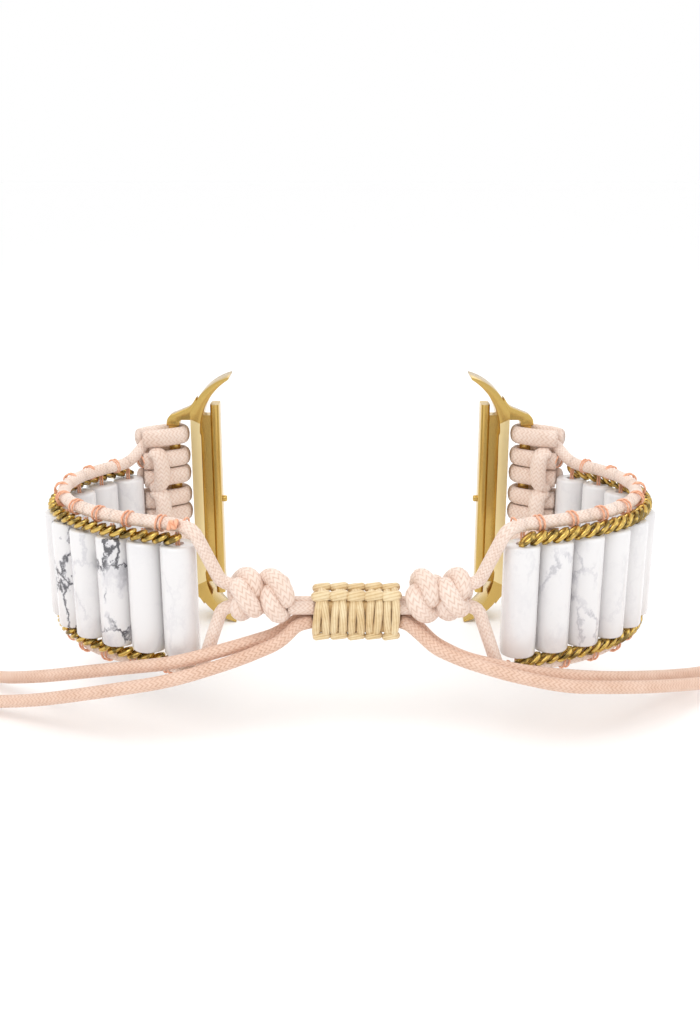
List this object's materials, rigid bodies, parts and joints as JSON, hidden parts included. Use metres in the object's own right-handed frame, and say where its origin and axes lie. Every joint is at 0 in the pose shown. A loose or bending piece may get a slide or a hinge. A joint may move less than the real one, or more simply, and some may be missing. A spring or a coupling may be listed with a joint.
{
  "type": "bead watch band",
  "caption": "Bead watch band with white marbled stone tube beads, peach waxed cords, brass chains, gold lug adapters and a sliding knotted cord clasp.",
  "frame": {"origin": "centre of the seat between the two adapters, on the middle plane of their tongues", "axes": "+Z along the beads, up as the band stands on its edge; the clasp is at -Y; the adapters are at -X and +X"},
  "size_m": [0.1589, 0.0415, 0.035],
  "materials": {
    "gold_metal": "polished gold plating on steel",
    "brass_chain": "bright drawn wire",
    "howlite": "tumbled and polished, grey veins",
    "waxed_cord": "waxed braided polyester",
    "nylon_thread": "bonded nylon thread",
    "macrame_cord": "square-knotted polyester cord"
  },
  "bodies": {
    "left_adapter": {"left_adapter": "gold_metal", "left_latch_spring": "gold_metal"},
    "left_latch": {"left_latch_pin": "gold_metal"},
    "left_hitch": {"left_bar_hitch": "waxed_cord", "left_upper_edge_cord": "waxed_cord", "left_lower_edge_cord": "waxed_cord", "left_upper_chain": "brass_chain", "left_lower_chain": "brass_chain", "left_ladder_thread": "nylon_thread"},
    "left_link_10": {"left_bead_10": "howlite"},
    "left_link_09": {"left_bead_09": "howlite"},
    "left_link_08": {"left_bead_08": "howlite"},
    "left_link_07": {"left_bead_07": "howlite"},
    "left_link_06": {"left_bead_06": "howlite"},
    "left_link_05": {"left_bead_05": "howlite"},
    "left_link_04": {"left_bead_04": "howlite"},
    "left_link_03": {"left_bead_03": "howlite"},
    "left_link_02": {"left_bead_02": "howlite"},
    "left_link_01": {"left_bead_01": "howlite", "left_thread_knot": "nylon_thread"},
    "left_knot": {"left_cord_knot": "waxed_cord", "left_core_cords": "waxed_cord"},
    "right_adapter": {"right_adapter": "gold_metal", "right_latch_spring": "gold_metal"},
    "right_latch": {"right_latch_pin": "gold_metal"},
    "right_hitch": {"right_bar_hitch": "waxed_cord", "right_upper_edge_cord": "waxed_cord", "right_lower_edge_cord": "waxed_cord", "right_upper_chain": "brass_chain", "right_lower_chain": "brass_chain", "right_ladder_thread": "nylon_thread"},
    "right_link_10": {"right_bead_10": "howlite"},
    "right_link_09": {"right_bead_09": "howlite"},
    "right_link_08": {"right_bead_08": "howlite"},
    "right_link_07": {"right_bead_07": "howlite"},
    "right_link_06": {"right_bead_06": "howlite"},
    "right_link_05": {"right_bead_05": "howlite"},
    "right_link_04": {"right_bead_04": "howlite"},
    "right_link_03": {"right_bead_03": "howlite"},
    "right_link_02": {"right_bead_02": "howlite"},
    "right_link_01": {"right_bead_01": "howlite"},
    "right_knot": {"right_cord_knot": "waxed_cord", "right_core_cords": "waxed_cord"},
    "slider": {"slider": "macrame_cord", "slider_cords": "waxed_cord", "right_tail_front": "waxed_cord", "right_tail_rear": "waxed_cord", "left_tail_front": "waxed_cord", "left_tail_rear": "waxed_cord", "right_tail_front_knot": "waxed_cord", "right_tail_rear_knot": "waxed_cord", "left_tail_front_knot": "waxed_cord", "left_tail_rear_knot": "waxed_cord"}
  },
  "joints": [
    {"name": "left_latch_press", "type": "slide", "parent": "left_adapter", "child": "left_latch", "axis": [-1, 0, 0], "range_m": [0, 0.0005], "stiffness_N_per_m": 200, "deforming": ["left_latch_spring"]},
    {"name": "left_adapter_pivot", "type": "hinge", "parent": "left_adapter", "child": "left_hitch", "pos_m": [-0.02375, -0.0018, 0], "axis": [0, 0, 1], "range_deg": [-40, 50]},
    {"name": "left_root_flex", "type": "hinge", "parent": "left_hitch", "child": "left_link_10", "pos_m": [-0.02789, -0.0046, -0.0019], "axis": [0, 0, -1], "range_deg": [-0.6, 6]},
    {"name": "left_gap_09", "type": "hinge", "parent": "left_link_10", "child": "left_link_09", "pos_m": [-0.03111, -0.0073, -0.0019], "axis": [0, 0, -1], "range_deg": [-1.25, 12.05]},
    {"name": "left_gap_08", "type": "hinge", "parent": "left_link_09", "child": "left_link_08", "pos_m": [-0.0337, -0.0106, -0.0019], "axis": [0, 0, -1], "range_deg": [-1.75, 17.05]},
    {"name": "left_strap_flex", "type": "hinge", "parent": "left_link_08", "child": "left_link_07", "pos_m": [-0.0352, -0.01453, -0.0019], "axis": [0, 0, -1], "range_deg": [-1.9, 19], "deforming": ["left_upper_edge_cord", "left_lower_edge_cord", "left_upper_chain", "left_lower_chain", "left_ladder_thread"]},
    {"name": "left_gap_06", "type": "hinge", "parent": "left_link_07", "child": "left_link_06", "pos_m": [-0.03535, -0.01872, -0.0019], "axis": [0, 0, -1], "range_deg": [-1.95, 19.05]},
    {"name": "left_gap_05", "type": "hinge", "parent": "left_link_06", "child": "left_link_05", "pos_m": [-0.03412, -0.02274, -0.0019], "axis": [0, 0, -1], "range_deg": [-1.85, 18.05]},
    {"name": "left_gap_04", "type": "hinge", "parent": "left_link_05", "child": "left_link_04", "pos_m": [-0.03171, -0.02618, -0.0019], "axis": [0, 0, -1], "range_deg": [-1.55, 15.05]},
    {"name": "left_gap_03", "type": "hinge", "parent": "left_link_04", "child": "left_link_03", "pos_m": [-0.0285, -0.02888, -0.0019], "axis": [0, 0, -1], "range_deg": [-1.25, 12.05]},
    {"name": "left_gap_02", "type": "hinge", "parent": "left_link_03", "child": "left_link_02", "pos_m": [-0.02479, -0.03085, -0.0019], "axis": [0, 0, -1], "range_deg": [-0.75, 7.05]},
    {"name": "left_gap_01", "type": "hinge", "parent": "left_link_02", "child": "left_link_01", "pos_m": [-0.02087, -0.03236, -0.0019], "axis": [0, 0, -1], "range_deg": [-0.25, 2.05]},
    {"name": "left_lead_bend", "type": "hinge", "parent": "left_link_01", "child": "left_knot", "pos_m": [-0.0169, -0.03372, -0.0019], "axis": [0, 0, -1], "range_deg": [-1.95, 19.05]},
    {"name": "left_cord_slide", "type": "slide", "parent": "left_knot", "child": "slider", "axis": [1, 0, 0], "range_m": [0, 0.03], "deforming": ["left_core_cords", "right_tail_front", "right_tail_rear"]},
    {"name": "right_cord_slide", "type": "slide", "parent": "slider", "child": "right_knot", "axis": [1, 0, 0], "range_m": [0, 0.03], "deforming": ["right_core_cords", "left_tail_front", "left_tail_rear"]},
    {"name": "right_strap_flex", "type": "hinge", "parent": "right_knot", "child": "right_link_01", "pos_m": [0.0169, -0.03372, -0.0019], "axis": [0, 0, -1], "range_deg": [-1.9, 19], "deforming": ["right_upper_edge_cord", "right_lower_edge_cord", "right_upper_chain", "right_lower_chain", "right_ladder_thread"]},
    {"name": "right_gap_01", "type": "hinge", "parent": "right_link_01", "child": "right_link_02", "pos_m": [0.02087, -0.03236, -0.0019], "axis": [0, 0, -1], "range_deg": [-0.25, 2.05]},
    {"name": "right_gap_02", "type": "hinge", "parent": "right_link_02", "child": "right_link_03", "pos_m": [0.02479, -0.03085, -0.0019], "axis": [0, 0, -1], "range_deg": [-0.75, 7.05]},
    {"name": "right_gap_03", "type": "hinge", "parent": "right_link_03", "child": "right_link_04", "pos_m": [0.0285, -0.02888, -0.0019], "axis": [0, 0, -1], "range_deg": [-1.25, 12.05]},
    {"name": "right_gap_04", "type": "hinge", "parent": "right_link_04", "child": "right_link_05", "pos_m": [0.03171, -0.02618, -0.0019], "axis": [0, 0, -1], "range_deg": [-1.55, 15.05]},
    {"name": "right_gap_05", "type": "hinge", "parent": "right_link_05", "child": "right_link_06", "pos_m": [0.03412, -0.02274, -0.0019], "axis": [0, 0, -1], "range_deg": [-1.85, 18.05]},
    {"name": "right_gap_06", "type": "hinge", "parent": "right_link_06", "child": "right_link_07", "pos_m": [0.03535, -0.01872, -0.0019], "axis": [0, 0, -1], "range_deg": [-1.95, 19.05]},
    {"name": "right_gap_07", "type": "hinge", "parent": "right_link_07", "child": "right_link_08", "pos_m": [0.0352, -0.01453, -0.0019], "axis": [0, 0, -1], "range_deg": [-1.95, 19.05]},
    {"name": "right_root_flex", "type": "hinge", "parent": "right_link_08", "child": "right_link_09", "pos_m": [0.0337, -0.0106, -0.0019], "axis": [0, 0, -1], "range_deg": [-1.7, 17]},
    {"name": "right_gap_09", "type": "hinge", "parent": "right_link_09", "child": "right_link_10", "pos_m": [0.03111, -0.0073, -0.0019], "axis": [0, 0, -1], "range_deg": [-1.25, 12.05]},
    {"name": "right_gap_10", "type": "hinge", "parent": "right_link_10", "child": "right_hitch", "pos_m": [0.02789, -0.0046, -0.0019], "axis": [0, 0, -1], "range_deg": [-0.65, 6.05]},
    {"name": "right_adapter_pivot", "type": "hinge", "parent": "right_hitch", "child": "right_adapter", "pos_m": [0.02375, -0.0018, 0], "axis": [0, 0, 1], "range_deg": [-40, 50]},
    {"name": "right_latch_press", "type": "slide", "parent": "right_adapter", "child": "right_latch", "axis": [1, 0, 0], "range_m": [0, 0.0005], "stiffness_N_per_m": 200, "deforming": ["right_latch_spring"]}
  ],
  "couplings": [
    {"joint": "left_gap_09", "follows": "left_root_flex", "ratio": 2},
    {"joint": "left_gap_08", "follows": "left_root_flex", "ratio": 2.8333},
    {"joint": "left_gap_06", "follows": "left_strap_flex", "ratio": 1},
    {"joint": "left_gap_05", "follows": "left_strap_flex", "ratio": 0.94737},
    {"joint": "left_gap_04", "follows": "left_strap_flex", "ratio": 0.78947},
    {"joint": "left_gap_03", "follows": "left_strap_flex", "ratio": 0.63158},
    {"joint": "left_gap_02", "follows": "left_strap_flex", "ratio": 0.36842},
    {"joint": "left_gap_01", "follows": "left_strap_flex", "ratio": 0.10526},
    {"joint": "left_lead_bend", "follows": "left_strap_flex", "ratio": 1},
    {"joint": "right_gap_01", "follows": "right_strap_flex", "ratio": 0.10526},
    {"joint": "right_gap_02", "follows": "right_strap_flex", "ratio": 0.36842},
    {"joint": "right_gap_03", "follows": "right_strap_flex", "ratio": 0.63158},
    {"joint": "right_gap_04", "follows": "right_strap_flex", "ratio": 0.78947},
    {"joint": "right_gap_05", "follows": "right_strap_flex", "ratio": 0.94737},
    {"joint": "right_gap_06", "follows": "right_strap_flex", "ratio": 1},
    {"joint": "right_gap_07", "follows": "right_strap_flex", "ratio": 1},
    {"joint": "right_gap_09", "follows": "right_root_flex", "ratio": 0.70588},
    {"joint": "right_gap_10", "follows": "right_root_flex", "ratio": 0.35294}
  ]
}
